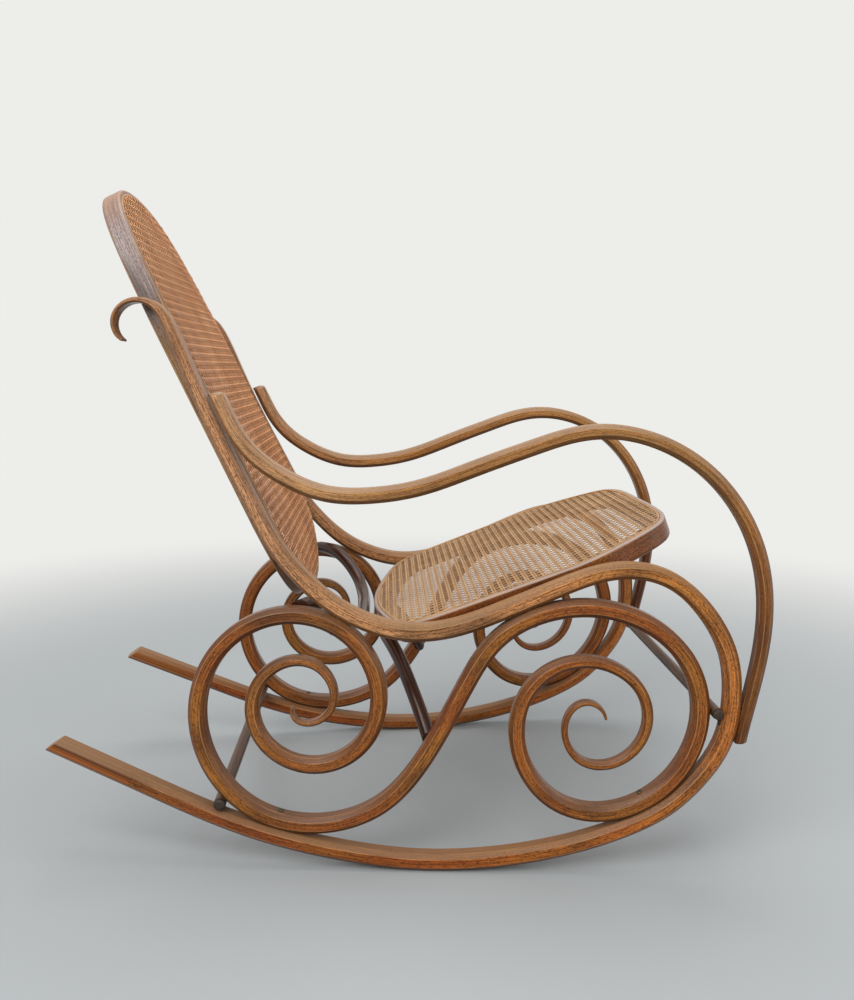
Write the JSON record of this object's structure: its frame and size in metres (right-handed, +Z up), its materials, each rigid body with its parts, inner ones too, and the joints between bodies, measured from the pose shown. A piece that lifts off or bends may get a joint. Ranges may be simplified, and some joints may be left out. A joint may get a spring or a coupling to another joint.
{
  "type": "bentwood rocking chair",
  "caption": "Rocking chair of steam-bent beech rods with scrolled sides, bent arms, and an oval seat and long back in woven cane.",
  "frame": {"origin": "on the floor, under the middle of the chair's box", "axes": "+X the way the sitter faces, +Y the sitter's left, +Z up"},
  "size_m": [1.0792, 0.6238, 1.0351],
  "materials": {
    "beech": "polished, stained amber brown, worn lighter on the edges",
    "dark_beech": "dark brown, near black, glossy",
    "cane": "natural rattan cane, satin",
    "cane_red": "rattan cane, aged red brown, satin",
    "reed": "round reed, satin",
    "iron": "dark, dull",
    "steel": "aged steel screws"
  },
  "bodies": {
    "root": {"arm_left": "beech", "arm_right": "beech", "arm_screws": "steel", "back_cane": "cane_red", "back_hoop": "beech", "back_screws": "steel", "back_spline": "reed", "brace_front": "dark_beech", "brace_rear": "dark_beech", "scroll_left": "beech", "scroll_right": "beech", "scroll_screws": "steel", "seat_cane": "cane", "seat_hoop": "beech", "seat_screws": "steel", "seat_spline": "reed", "side_rail_left": "beech", "side_rail_right": "beech", "stretcher_caps": "iron", "stretcher_front": "dark_beech", "stretcher_rear": "dark_beech"}
  },
  "joints": []
}
